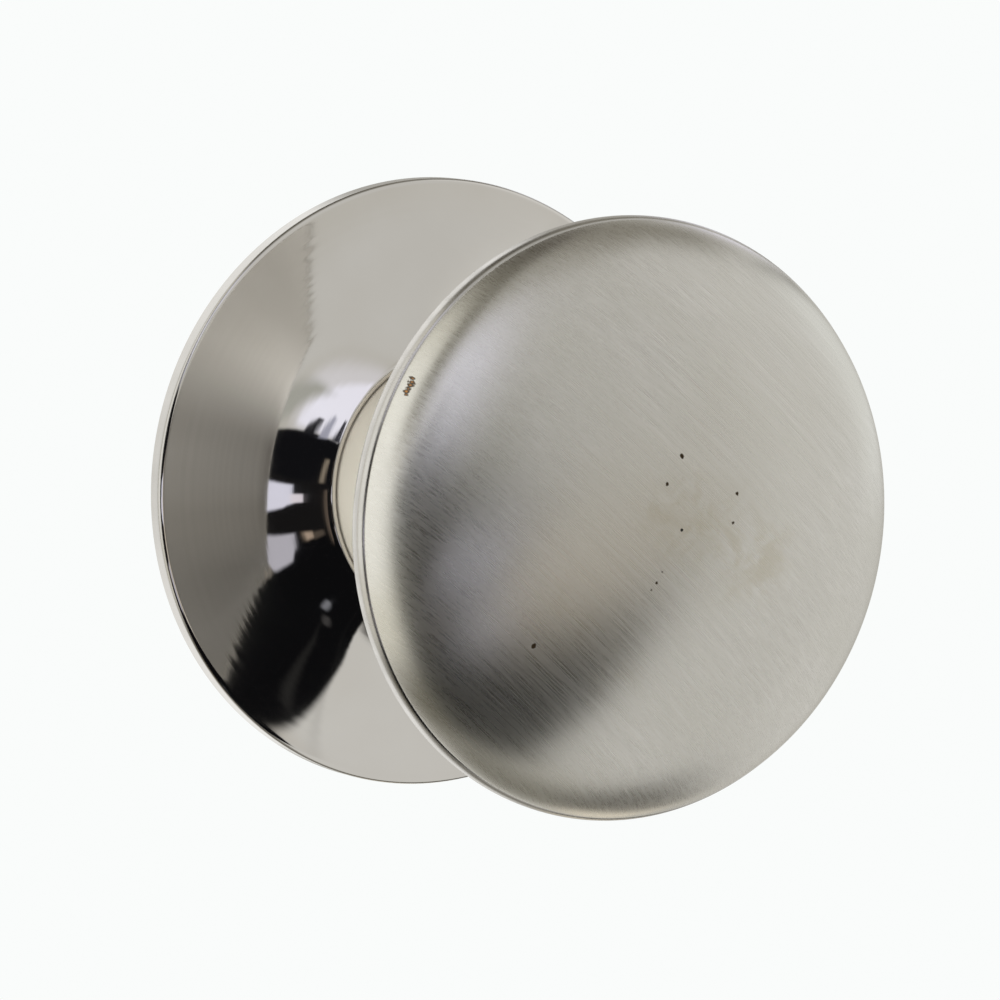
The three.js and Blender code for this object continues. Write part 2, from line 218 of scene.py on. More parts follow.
def calc(tree, operation, *values):
    """A math operation on numbers or sockets."""
    return node(tree, "ShaderNodeMath", dict(enumerate(values)), operation=operation).outputs[0]


def times(tree, a, b):
    return calc(tree, "MULTIPLY", a, b)


def plus(tree, a, b):
    return calc(tree, "ADD", a, b)


def vectors(tree, operation, a, b, output=0):
    """A vector operation on two vectors, or on a vector and a number for SCALE."""
    second = "Scale" if operation == "SCALE" else 1
    return node(tree, "ShaderNodeVectorMath", {0: a, second: b}, operation=operation).outputs[output]


def separate(tree, point):
    """The point's x, y and z."""
    return node(tree, "ShaderNodeSeparateXYZ", {0: point}).outputs


def remap(tree, value, low, high, to_low=0.0, to_high=1.0, smooth=False):
    """Carries low..high over to to_low..to_high and holds the ends."""
    kind = "SMOOTHSTEP" if smooth else "LINEAR"
    made = node(tree, "ShaderNodeMapRange", {"Value": value}, interpolation_type=kind)
    for key, number in (("From Min", low), ("From Max", high), ("To Min", to_low), ("To Max", to_high)):
        made.inputs[key].default_value = number
    return made.outputs[0]


def mix(tree, factor, a, b):
    """Colour a where factor is 0, b where it is 1."""
    return node(tree, "ShaderNodeMix", {0: factor, 6: a, 7: b}, data_type="RGBA").outputs[2]


def rgb(r, g, b):
    return (r, g, b, 1.0)


def object_point(tree):
    """The shaded point in millimetres."""
    point = node(tree, "ShaderNodeTexCoord").outputs["Object"]
    return vectors(tree, "SCALE", point, 1 / MM)


def stretched(tree, point, turn, scale):
    """The point turned about the knob's axis and scaled along its new axes."""
    made = node(tree, "ShaderNodeMapping", {"Vector": point}, vector_type="TEXTURE")
    made.inputs["Rotation"].default_value = (0.0, turn, 0.0)
    made.inputs["Scale"].default_value = scale
    return made.outputs[0]


def noise(tree, point, scale, detail=2.0, roughness=0.5, distortion=0.0):
    """Smooth noise about 0.5, scale in waves per millimetre."""
    settings = {"Vector": point, "Scale": scale, "Detail": detail}
    settings.update({"Roughness": roughness, "Distortion": distortion})
    return node(tree, "ShaderNodeTexNoise", settings).outputs[0]


def metal(name):
    """A new metallic material with its node tree and shader."""
    material = bpy.data.materials.new(name)
    material.use_nodes = True
    tree = material.node_tree
    shader = tree.nodes["Principled BSDF"]
    shader.inputs["Metallic"].default_value = 1.0
    return material, tree, shader


def bump(tree, shader, height, distance):
    """Relief in the shading only: distance is what a height of 1 stands for, in metres."""
    made = node(tree, "ShaderNodeBump", {"Height": height, "Distance": distance, "Strength": 1.0})
    tree.links.new(made.outputs[0], shader.inputs["Normal"])


# ---------------------------------------------------------------- polished nickel, with turning lines
def polished_nickel(name, along_r, along_f, tint=1.0, rough=0.036):
    """Lathe-turned nickel: fine rings at steps of along_r times radius plus along_f times height."""
    material, tree, shader = metal(name)
    point = object_point(tree)
    x, y, z = separate(tree, point)
    radius = calc(tree, "SQRT", plus(tree, times(tree, x, x), times(tree, z, z)))
    travel = plus(tree, times(tree, radius, along_r), times(tree, y, -along_f))
    ring_place = node(tree, "ShaderNodeCombineXYZ", {0: travel}).outputs[0]
    coarse = noise(tree, ring_place, 1.6, 0.0)
    fine = noise(tree, ring_place, 6.5, 2.0)
    bump(tree, shader, plus(tree, coarse, times(tree, fine, 0.22)), 0.0042 * MM)
    haze = noise(tree, point, 0.11, 3.0)
    colour = mix(tree, remap(tree, haze, 0.3, 0.7), rgb(0.80 * tint, 0.775 * tint, 0.74 * tint),
                 rgb(0.83 * tint, 0.81 * tint, 0.78 * tint))
    tree.links.new(colour, shader.inputs["Base Color"])
    wipe = noise(tree, stretched(tree, point, 0.5, (14.0, 14.0, 2.5)), 1.0, 3.0)
    tree.links.new(remap(tree, wipe, 0.3, 0.75, rough, rough * 1.5), shader.inputs["Roughness"])
    smear_along_profile(tree, shader, 0.9)
    return material


def smear_along_profile(tree, shader, amount):
    """Turning lines run round the axis, so they spread reflections along the profile."""
    shader.inputs["Anisotropic"].default_value = amount
    shader.inputs["Anisotropic Rotation"].default_value = 0.25
    tangent = node(tree, "ShaderNodeTangent", direction_type="RADIAL", axis="Y")
    tree.links.new(tangent.outputs[0], shader.inputs["Tangent"])


def turned_nickel():
    """As-turned finish of the neck and the head's underside: creamy neck, and painted shade that darkens
    the underside's lower, outer part.
    """
    material, tree, shader = metal("turned_nickel")
    point = object_point(tree)
    _, y, z = separate(tree, point)
    lines = noise(tree, node(tree, "ShaderNodeCombineXYZ", {0: y}).outputs[0], 4.0, 3.0, 0.7)
    haze = noise(tree, point, 0.15, 3.0)
    both = plus(tree, times(tree, lines, 0.6), times(tree, haze, 0.4))
    both = remap(tree, both, 0.3, 0.7)
    bowl = mix(tree, both, rgb(0.90, 0.885, 0.86), rgb(0.97, 0.955, 0.93))
    neck = mix(tree, both, rgb(0.93, 0.87, 0.75), rgb(0.99, 0.94, 0.83))
    # Painted shade: the underside's colour darkens below its top and towards the lip, standing in for the
    # darker surroundings it reflects there.
    below_top = remap(tree, z, 23.0, 6.0, smooth=True)
    lower = times(tree, below_top, remap(tree, z, -22.0, -6.0, 0.8, 1.0))
    outer = remap(tree, y, -27.0, -38.0, 0.60, 0.94)
    painted_shade = times(tree, lower, outer)
    bowl = mix(tree, painted_shade, bowl, rgb(0.15, 0.14, 0.13))
    colour = mix(tree, remap(tree, y, -26.0, -17.0, smooth=True), bowl, neck)
    tree.links.new(colour, shader.inputs["Base Color"])
    tree.links.new(remap(tree, haze, 0.3, 0.7, 0.50, 0.58), shader.inputs["Roughness"])
    tree.links.new(remap(tree, y, -26.0, -17.0, 0.85, 0.35), shader.inputs["Metallic"])
    smear_along_profile(tree, shader, 0.7)
    bump(tree, shader, lines, 0.01 * MM)
    return material


# ---------------------------------------------------------------- satin nickel, brushed across the dome
def spot(tree, point, x, z, radius, soft):
    """1 within radius of a place on the dome's face, 0 outside it."""
    flat = vectors(tree, "MULTIPLY", point, (1.0, 0.0, 1.0))
    distance = vectors(tree, "DISTANCE", flat, (x, 0.0, z), "Value")
    return remap(tree, distance, radius, radius + soft, 1.0, 0.0, smooth=True)


# Marks on the dome's face: (x, z, radius) in millimetres, and for the stains their strength.
PITS = [(0.2, 7.4, 0.16), (-1.65, 4.7, 0.11), (6.7, 3.25, 0.11), (6.15, 0.35, 0.1), (-2.75, -5.2, 0.1),
        (-15.6, -11.0, 0.2), (-3.4, -5.9, 0.07), (-2.2, -4.1, 0.06)]
CHIP = [(-26.45, 14.1, 0.02), (-26.3, 14.4, 0.05), (-26.15, 14.7, 0.03), (-25.95, 15.0, 0.06),
        (-25.8, 15.3, 0.04), (-25.65, 15.65, 0.02)]
STAINED = [(-0.5, 1.5, 6.0, 0.9), (6.0, -1.5, 7.0, 0.7), (10.0, -4.0, 6.0, 0.8), (-14.0, -8.5, 5.5, 0.4),
           (-7.0, -14.0, 4.5, 0.4)]
# Relief of the brushing in millimetres, and the slope of lean() along x and along z.
SCRATCH_DEPTH = 0.0045
LEAN = tan(radians(2.3))


def worn_places(tree, warped):
    """1 in the pits, 0 elsewhere."""
    wear = None
    for x, z, radius in PITS:
        mark = spot(tree, warped, x, z, radius, 0.12)
        wear = mark if wear is None else calc(tree, "MAXIMUM", wear, mark)
    return wear


def satin_colour(tree, point, warped, hair, wear):
    """Pale nickel streaked along the brushing, then the stains, the rusty chip and the dark pits."""
    band = noise(tree, stretched(tree, point, -GRAIN, (18.0, 1.0, 0.55)), 1.0, 2.0, 0.6)
    cloud = noise(tree, stretched(tree, point, -GRAIN, (2.4, 1.0, 1.0)), 0.12, 4.0, 0.6)
    colour = mix(tree, remap(tree, hair, 0.34, 0.66), rgb(0.69, 0.67, 0.63), rgb(0.83, 0.815, 0.775))
    colour = mix(tree, remap(tree, band, 0.35, 0.7, 0.0, 0.45), colour, rgb(0.66, 0.645, 0.605))
    colour = mix(tree, remap(tree, cloud, 0.35, 0.65, 0.0, 0.6), colour, rgb(0.70, 0.685, 0.63))
    blot = remap(tree, noise(tree, point, 0.32, 5.0, 0.62, 0.6), 0.36, 0.68, smooth=True)
    for x, z, radius, strength in STAINED:
        here = times(tree, spot(tree, warped, x, z, radius * 0.15, radius), strength)
        colour = mix(tree, times(tree, here, blot), colour, rgb(0.64, 0.605, 0.52))
    for x, z, radius in CHIP:
        colour = mix(tree, spot(tree, warped, x, z, radius + 0.10, 0.10), colour, rgb(0.10, 0.08, 0.06))
    for x, z, radius in CHIP:
        colour = mix(tree, spot(tree, warped, x, z, radius, 0.06), colour, rgb(0.50, 0.24, 0.09))
    return mix(tree, wear, colour, rgb(0.10, 0.07, 0.04))


def satin_nickel():
    """Brushed plate: it spreads reflections across its fine hairlines and carries small marks."""
    material, tree, shader = metal("satin_nickel")
    point = object_point(tree)
    warped = vectors(tree, "ADD", point, noise_shift(tree, point, 2.2, 0.4))
    hair = noise(tree, stretched(tree, point, -GRAIN, (8.0, 1.0, 0.14)), 1.0, 3.0, 0.7)
    scratch = noise(tree, stretched(tree, point, -GRAIN - 0.05, (9.0, 3.0, 0.2)), 1.0, 2.0, 0.6)
    wear = worn_places(tree, warped)
    tree.links.new(satin_colour(tree, point, warped, hair, wear), shader.inputs["Base Color"])
    rough = plus(tree, remap(tree, hair, 0.25, 0.75, 0.24, 0.33), times(tree, wear, 0.4))
    tree.links.new(rough, shader.inputs["Roughness"])
    shader.inputs["Metallic"].default_value = 0.98
    shader.inputs["Anisotropic"].default_value = 0.72
    tangent = node(tree, "ShaderNodeTangent", direction_type="UV_MAP", uv_map="grain")
    tree.links.new(tangent.outputs[0], shader.inputs["Tangent"])
    height = plus(tree, hair, times(tree, scratch, 0.6))
    height = calc(tree, "SUBTRACT", height, times(tree, wear, 4.0))
    bump(tree, shader, plus(tree, times(tree, height, SCRATCH_DEPTH), lean(tree, point)), MM)
    return material


def lean(tree, point):
    """Height in millimetres that turns the dome's reflections, as if the head stood out of square."""
    x, _, z = separate(tree, point)
    return times(tree, calc(tree, "SUBTRACT", x, z), LEAN)


def noise_shift(tree, point, scale, amount):
    """A small random shift of the point, so that marks aren't perfect circles."""
    settings = {"Vector": point, "Scale": scale, "Detail": 2.0}
    drift = node(tree, "ShaderNodeTexNoise", settings).outputs["Color"]
    return vectors(tree, "SCALE", vectors(tree, "SUBTRACT", drift, (0.5, 0.5, 0.5)), amount)


# ---------------------------------------------------------------- finishes of the hidden hardware
def steel(name, dark, light, rough, grain_scale):
    """Steel with a cloudy plated skin and fine marks."""
    material, tree, shader = metal(name)
    point = object_point(tree)
    skin = noise(tree, point, 0.35, 4.0, 0.6)
    marks = noise(tree, stretched(tree, point, 0.6, grain_scale), 1.0, 3.0, 0.6)
    colour = mix(tree, remap(tree, skin, 0.3, 0.7), rgb(*dark), rgb(*light))
    tree.links.new(colour, shader.inputs["Base Color"])
    both = plus(tree, times(tree, skin, 0.5), times(tree, marks, 0.5))
    tree.links.new(remap(tree, both, 0.3, 0.7, rough - 0.06, rough + 0.06), shader.inputs["Roughness"])
    bump(tree, shader, both, 0.01 * MM)
    return material


def nylon():
    """Natural nylon, slightly cloudy, with a fine moulded skin."""
    material = bpy.data.materials.new("nylon")
    material.use_nodes = True
    tree = material.node_tree
    shader = tree.nodes["Principled BSDF"]
    point = object_point(tree)
    cloud = noise(tree, point, 0.2, 3.0)
    skin = noise(tree, point, 3.5, 3.0)
    colour = mix(tree, cloud, rgb(0.80, 0.78, 0.72), rgb(0.88, 0.86, 0.81))
    tree.links.new(colour, shader.inputs["Base Color"])
    tree.links.new(remap(tree, skin, 0.3, 0.7, 0.42, 0.58), shader.inputs["Roughness"])
    shader.inputs["Specular IOR Level"].default_value = 0.45
    bump(tree, shader, skin, 0.02 * MM)
    return material


# ---------------------------------------------------------------- the rose cover
FACE_R = ROSE_R - 0.55
# (radius, slope in degrees) of the rose's hollow face, collar to rim.
ROSE_SLOPES = [(COLLAR_R, 38.5), (17.0, 33.0), (19.0, 28.0), (20.7, 22.0), (22.0, 17.0), (25.0, 12.8),
               (28.5, 8.3), (ROSE_R - 0.5, 4.0)]


def rose_slope(r):
    """Slope of the rose's face at radius r: almost flat at the rim, steep at the collar."""
    for (r0, a0), (r1, a1) in zip(ROSE_SLOPES, ROSE_SLOPES[1:]):
        if r <= r1:
            return tan(radians(a0 + (a1 - a0) * (r - r0) / (r1 - r0)))
    return tan(radians(ROSE_SLOPES[-1][1]))


def rose_face(first, last, step=0.02):
    """Points of the rose's face from radius first in to radius last, every tenth step kept."""
    points, r, f = [], first, ROSE_EDGE
    while r > last:
        if round((first - r) / step) % 10 == 0:
            points.append((r, f))
        f += step * rose_slope(r - step / 2)
        r -= step
    return points + [(last, f)]


def rose_cover(material, rim):
    """Pressed cover: hollow face, rounded rim with its own rougher finish darkened as painted shade, and
    the lip round the neck.
    """
    face = rose_face(FACE_R, COLLAR_R + 0.1)
    edge = arc((ROSE_R, 1.7), (ROSE_R, 2.17), face[0], 10)
    lip = arc(face[-1], (14.85, COLLAR_F + 0.2), (COLLAR_BORE, COLLAR_F - 0.15), 12)
    inside = [(r, f) for r, f in offset(face, ROSE_WALL)[::-9] if COLLAR_BORE + 0.25 < r < ROSE_R - 1.2]
    profile = ([(ROSE_R - ROSE_WALL, 0.0), (ROSE_R - 0.12, 0.0), (ROSE_R, 0.12)]
               + line((ROSE_R, 0.3), (ROSE_R, 1.7), 0.3) + edge + face[1:] + lip[1:]
               + [(COLLAR_BORE, COLLAR_F - 1.2)] + inside + [(ROSE_R - ROSE_WALL, 1.2)])
    obj = turned("rose_cover_turned", profile)
    dress(obj, "rose", material, "polished_nickel", "rose_cover")
    obj.data.materials.append(rim)
    for polygon in obj.data.polygons:
        if sqrt(polygon.center.x ** 2 + polygon.center.z ** 2) > (ROSE_R - 0.2) * MM:
            polygon.material_index = 1
    return obj


# ---------------------------------------------------------------- the knob's head and neck
def dome_point(degrees_up):
    """[r, f] on the dome's ellipse, from its edge at DOME_START to its top at 90."""
    r = DOME_R * cos(radians(degrees_up)) / cos(radians(DOME_START))
    return r, DOME_F + DOME_H * (sin(radians(degrees_up)) - sin(radians(DOME_START)))


def lay_grain(obj):
    """A UV layer whose U axis crosses the brushing, for the satin finish's tangent."""
    layer = obj.data.uv_layers.new(name="grain")
    for loop in obj.data.loops:
        x, _, z = obj.data.vertices[loop.vertex_index].co
        across = -x * sin(GRAIN) + z * cos(GRAIN)
        along = x * cos(GRAIN) + z * sin(GRAIN)
        layer.data[loop.index].uv = (across / GRAIN_TILE + 0.5, along / GRAIN_TILE + 0.5)


def dome_shell(material):
    """Thin domed front, its points closer together towards the edge."""
    low, high, steps = DOME_EDGE + 0.6, 89.7, 70
    outer = [dome_point(low + (high - low) * (i / steps) ** 1.25) for i in range(steps + 1)]
    edge_r, edge_f = dome_point(DOME_EDGE)
    edge = arc((edge_r - 0.22, edge_f), (edge_r, edge_f), outer[0], 6)
    inner = offset(outer[::6], DOME_WALL)
    profile = edge + outer[1:] + inner[::-1][:-1] + [(inner[0][0], edge_f)]
    obj = turned("dome_shell_turned", profile, 256)
    lay_grain(obj)
    return dress(obj, "knob", material, "satin_nickel", "dome_shell")


def grub_hole(radius, length, sides, middle):
    """Cutter for the grub screw's hole, upright, with its middle at height z."""
    hole = mesh_rod("hole", radius, length, sides)
    place = Matrix.Translation((0, -GRUB_F * MM, middle * MM))
    hole.matrix_world = place @ Matrix.Rotation(pi / 2, 4, "X")
    return hole


def back_shell(material, bead):
    """Underside of the head with its rolled lip, drawn down into the neck."""
    bowl = spline(BOWL, 8)
    inside = offset(bowl, -BOWL_WALL)[::4]
    inside[-1] = (NECK_R - NECK_WALL, NECK_FOOT)
    neck = line((NECK_R, NECK_FOOT - 0.4), (NECK_R, NECK_BACK + 0.3), 0.8) + [(NECK_R, NECK_BACK + 0.3)]
    foot = [(NECK_R - 0.1, NECK_BACK + 0.08), (NECK_R - 0.3, NECK_BACK), (NECK_R - NECK_WALL, NECK_BACK)]
    profile = [(29.3, 43.5)] + spline(LIP, 6) + bowl[1:] + neck + foot + inside[::-1]
    obj = hollow(turned("back_shell_turned", profile), [grub_hole(3.0, 8.0, 48, -14.0)])
    dress(obj, "knob", material, "polished_nickel", "back_shell")
    obj.data.materials.append(bead)
    for polygon in obj.data.polygons:
        if -polygon.center.y > BEAD_FOOT * MM:
            polygon.material_index = 1
    return obj


# ---------------------------------------------------------------- fixings and mechanism
def threaded_shank(x, z, start, end, sides, rings=170):
    """Rings of points down a screw at x, z: a rolled thread that fades in and tapers to a point."""
    pitch, core, thread, taper_length = 1.3, 1.02, 0.55, 4.5
    verts = []
    for i in range(rings + 1):
        f = start + (end - start) * i / rings
        taper = min(1.0, (f - end) / taper_length)
        for k in range(sides):
            phase = (f / pitch + k / sides) % 1.0
            ridge = max(0.0, 1.0 - abs(phase - 0.5) / 0.24)
            threaded = core + thread * ridge * min(1.0, i / 10)
            radius = max(0.03, taper * threaded + (1 - min(1.0, i / 6)) * 0.35)
            turn = 2 * pi * k / sides
            verts.append((x + radius * cos(turn), -f, z + radius * sin(turn)))
    return verts


def wood_screw(index, angle, material):
    """Countersunk screw with a rolled thread, a gimlet point and a cross recess."""
    x, z = polar(SCREW_AT, angle)
    top, length, sides = PLATE_T - 0.05, 20.0, 24
    profile = [(0.0, top), (2.95, top), (3.25, top - 0.12), (3.3, top - 0.3), (1.62, 0.0), (1.5, -0.6),
               (1.4, -2.4)]
    verts = [(x + r * cos(2 * pi * k / sides), -f, z + r * sin(2 * pi * k / sides))
             for r, f in profile for k in range(sides)]
    verts += threaded_shank(x, z, -2.6, top - length, sides)
    faces = ring_faces(len(verts) // sides, sides)
    faces.append(list(range(len(verts) - sides, len(verts))))
    obj = mesh_object(f"wood_screw_{index}_threaded", verts, faces, 50)
    blades = []
    for turn in (0, 90):
        blade = mesh_object("blade", *box_shape((3.4, 1.7, 0.62)), sharp=30)
        blade.matrix_world = (Matrix.Translation((x * MM, -top * MM, z * MM))
                              @ Matrix.Rotation(radians(turn + angle), 4, "Y"))
        blades.append(blade)
    hollow(obj, blades, 50)
    return dress(obj, "base", material, "zinc_steel", f"wood_screw_{index}")


def box_shape(size):
    """Corners and faces of a box centred on the origin."""
    a, b, c = (s / 2 for s in size)
    verts = [(sx * a, sy * b, sz * c) for sx in (-1, 1) for sy in (-1, 1) for sz in (-1, 1)]
    faces = [(0, 1, 3, 2), (4, 6, 7, 5), (0, 4, 5, 1), (2, 3, 7, 6), (0, 2, 6, 4), (1, 5, 7, 3)]
    return verts, faces


def square_spindle(material):
    """Drawn square bar with eased edges and chamfered ends."""
    half, front, back, ease = 3.9, 19.4, -53.0, 0.35
    outline = []
    for quarter in range(4):
        for step in range(5):
            turn = radians(90 * quarter + 90 * step / 4)
            cx, cz = [(1, 1), (-1, 1), (-1, -1), (1, -1)][quarter]
            flat = half - ease
            outline.append((cx * flat + ease * cos(turn), cz * flat + ease * sin(turn)))
    stations = [(back, 0.78), (back + 0.15, 0.80), (back + 1.0, 1.0)]
    stations += [(f, 1.0) for f, _ in line((back + 3, 0), (front - 3, 0), 4)]
    stations += [(front - 1.0, 1.0), (front - 0.15, 0.80), (front, 0.78)]
    count = len(outline)
    verts = [(px * s, -f, pz * s) for f, s in stations for px, pz in outline]
    faces = ring_faces(len(stations), count)
    faces += [list(range(count)), list(range((len(stations) - 1) * count, len(stations) * count))]
    obj = mesh_object("spindle_drawn", verts, faces, 25)
    return dress(obj, "knob", material, "bright_steel", "spindle")


def spring_cup(material):
    """Deep-drawn cup with rounded bends."""
    r, wall, back, flange_r, flange_f, t = 13.7, 0.8, -10.8, 18.6, 1.8, 0.7
    top = flange_f + t
    outside = (arc((r - 1.6, back), (r, back), (r, back + 1.6), 8)
               + line((r, back + 2.0), (r, flange_f - 0.5), 2.0)
               + arc((r, flange_f - 0.4), (r, flange_f), (r + 0.4, flange_f), 4))
    rim = arc((flange_r - 0.2, flange_f), (flange_r, flange_f), (flange_r, flange_f + 0.2), 3)
    rim += arc((flange_r, top - 0.2), (flange_r, top), (flange_r - 0.2, top), 3)
    mouth = arc((r - wall + 0.7, top), (r - wall, top), (r - wall, top - 0.7), 6)
    floor = arc((r - wall, back + 1.6), (r - wall, back + wall), (r - 1.6, back + wall), 6)
    profile = [(9.6, back)] + outside + rim + mouth + floor + [(9.6, back + wall)]
    return dress(turned("spring_cup_drawn", profile, 96), "base", material, "zinc_steel", "spring_cup")


def base_plate(material):
    """Stamped plate with four countersunk screw holes and three rivet holes."""
    edge = arc((PLATE_R - 0.15, 0.0), (PLATE_R, 0.0), (PLATE_R, 0.15), 3)
    edge += arc((PLATE_R, PLATE_T - 0.2), (PLATE_R, PLATE_T), (PLATE_R - 0.2, PLATE_T), 3)
    obj = turned("base_plate_stamped", [(PLATE_BORE, 0.0)] + edge + [(PLATE_BORE, PLATE_T)], 128)
    sink = [(0, -1), (2.2, -1), (2.2, 0), (4.0, PLATE_T), (4.0, 3), (0, 3)]
    hole = [(0, -1), (RIVET_HOLE_R, -1), (RIVET_HOLE_R, 3), (0, 3)]
    cutters = [turned("sink", sink, 32, polar(SCREW_AT, angle), closed=False) for angle in SCREW_ANGLES]
    # An odd number of sides keeps the cutter's corners off the plate's own edges.
    cutters += [turned("hole", hole, 31, polar(RIVET_AT, angle), closed=False) for angle in RIVET_ANGLES]
    hollow(obj, cutters)
    return dress(obj, "base", material, "zinc_steel", "base_plate")


def raise_bump(obj, angle):
    """Pushes the clip ring's outer wall out to a small cylinder that stands at radius BUMP_AT."""
    for vertex in obj.data.vertices:
        x, z = vertex.co.x / MM, vertex.co.z / MM
        radius = sqrt(x * x + z * z)
        cx, cz = polar(1.0, angle)
        ahead = (x * cx + z * cz) / radius
        aside = BUMP_AT * (x * cz - z * cx) / radius
        if radius < CLIP_OUT - 0.05 or ahead < 0 or abs(aside) >= BUMP_R:
            continue
        reach = BUMP_AT * ahead + sqrt(BUMP_R ** 2 - aside ** 2)
        on_wall = CLIP_BACK + 0.15 < -vertex.co.y / MM < CLIP_FRONT - 0.15
        if reach > radius and on_wall:
            vertex.co.x = reach * x / radius * MM
            vertex.co.z = reach * z / radius * MM


def clip_ring(material):
    """Moulded ring with eased edges and three gripping bumps on its outside."""
    inner, outer, back, front, ease = CLIP_IN, CLIP_OUT, CLIP_BACK, CLIP_FRONT, 0.2
    profile = (arc((inner, back + ease), (inner, back), (inner + ease, back), 3)
               + arc((outer - ease, back), (outer, back), (outer, back + ease), 3)
               + arc((outer, front - ease), (outer, front), (outer - ease, front), 3)
               + arc((inner + ease, front), (inner, front), (inner, front - ease), 3))
    obj = turned("clip_ring_moulded", profile, 720)
    for angle in BUMP_ANGLES:
        raise_bump(obj, angle)
    return dress(obj, "base", material, "nylon", "clip_ring")


def stem(material):
    """Turned hub with its square socket, screw hole and key slots."""
    tail_and_groove = [(0, -14.0), (8.6, -14.0), (9.0, -13.6), (9.0, -13.1), (8.0, -13.1), (8.0, -11.6)]
    journal_and_body = [(9.0, -11.6), (9.0, 3.4), (12.4, 3.4), (12.6, 3.6), (12.6, 25.4), (12.0, 26.0)]
    stud = [(5.0, 26.0), (5.0, 33.5), (4.4, 34.0), (0, 34.0)]
    profile = tail_and_groove + journal_and_body + stud
    obj = turned("stem_turned", profile, 96, closed=False)
    bore, slot_width, slot_r = 8.4, 3.0, 9.4
    socket = mesh_object("socket", *box_shape((bore, 50, bore)))
    socket.location = (0, 5.0 * MM, 0)
    hole = grub_hole(2.8, 14.0, 32, -9.0)
    slots = []
    for side in (-1, 1):
        slot = mesh_object("slot", *box_shape((slot_width, 20, slot_width)))
        slot.location = (side * slot_r * MM, 17.7 * MM, 0)
        slots.append(slot)
    hollow(obj, [socket, hole, *slots])
    return dress(obj, "knob", material, "bright_steel", "stem")


def spring_path(steps_per_turn=36):
    """[angle, f] points of the wire's centre: front leg, coils, back leg."""
    first, last = 90.0, 90.0 + 360.0 * SPRING_TURNS
    steps = SPRING_TURNS * steps_per_turn
    path = [(first - SPRING_BEND, SPRING_TIP_FRONT),
            (first - SPRING_BEND, SPRING_TIP_FRONT - 1.0),
            (first - SPRING_BEND, SPRING_FRONT + 1.1),
            (first - 0.7 * SPRING_BEND, SPRING_FRONT + 0.35)]
    for step in range(steps + 1):
        share = step / steps
        path.append((first + (last - first) * share, SPRING_FRONT + (SPRING_BACK - SPRING_FRONT) * share))
    path += [(last + 0.7 * SPRING_BEND, SPRING_BACK - 0.35),
             (last + SPRING_BEND, SPRING_BACK - 1.1),
             (last + SPRING_BEND, SPRING_TIP_BACK + 0.6),
             (last + SPRING_BEND, SPRING_TIP_BACK)]
    return path


def wound_wire(name, path, coil_r, wire_r):
    """Round wire along a smooth curve through [angle, f] points at radius coil_r."""
    curve = bpy.data.curves.new(name, "CURVE")
    curve.dimensions = "3D"
    curve.bevel_depth = wire_r * MM
    curve.bevel_resolution = 4
    curve.use_fill_caps = True
    wire = curve.splines.new("NURBS")
    wire.points.add(len(path) - 1)
    for place, (angle, f) in zip(wire.points, path):
        x, z = polar(coil_r * MM, angle)
        place.co = (x, -f * MM, z, 1.0)
    wire.order_u = 4
    wire.use_endpoint_u = True
    wire.resolution_u = 3
    holder = bpy.data.objects.new(name, curve)
    bpy.context.scene.collection.objects.link(holder)
    bpy.context.view_layer.update()
    drawn = holder.evaluated_get(bpy.context.evaluated_depsgraph_get())
    mesh = bpy.data.meshes.new_from_object(drawn)
    bpy.data.objects.remove(holder)
    verts = [vertex.co / MM for vertex in mesh.vertices]
    return mesh_object(name, verts, [tuple(polygon.vertices) for polygon in mesh.polygons], 50)


def return_spring(material):
    """Torsion spring. Its front leg stays in the bush and its back leg turns with the driver."""
    obj = wound_wire("return_spring_wound", spring_path(), SPRING_R, SPRING_WIRE)
    obj.data.materials.append(material)
    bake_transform(obj)
    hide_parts("return_spring")
    return obj


# ---------------------------------------------------------------- studio: surroundings seen in the metal
def direction(azimuth, elevation):
    """Azimuth 0 is straight in front of the knob, positive to its right."""
    a, e = radians(azimuth), radians(elevation)
    return Vector((sin(a) * cos(e), -cos(a) * cos(e), sin(e)))


def seen(r, g, b):
    """Radiance that shows as this display colour when the nickel reflects it."""
    nickel = (0.81, 0.79, 0.755)
    linear = (((c / 255 + 0.055) / 1.055) ** 2.4 for c in (r, g, b))
    return tuple(c / tint for c, tint in zip(linear, nickel))


def patch_mask(tree, ray, corners, soft):
    """1 inside the convex patch of surroundings between the corners, 0 outside."""
    points = [direction(*corner) for corner in corners]
    middle = sum(points, Vector()).normalized()
    reach = sin(radians(soft))
    mask = None
    for a, b in zip(points, points[1:] + points[:1]):
        normal = a.cross(b).normalized()
        if normal.dot(middle) < 0:
            normal.negate()
        height = vectors(tree, "DOT_PRODUCT", ray, normal, "Value")
        edge = remap(tree, height, -reach, reach, smooth=True)
        mask = edge if mask is None else times(tree, mask, edge)
    return mask


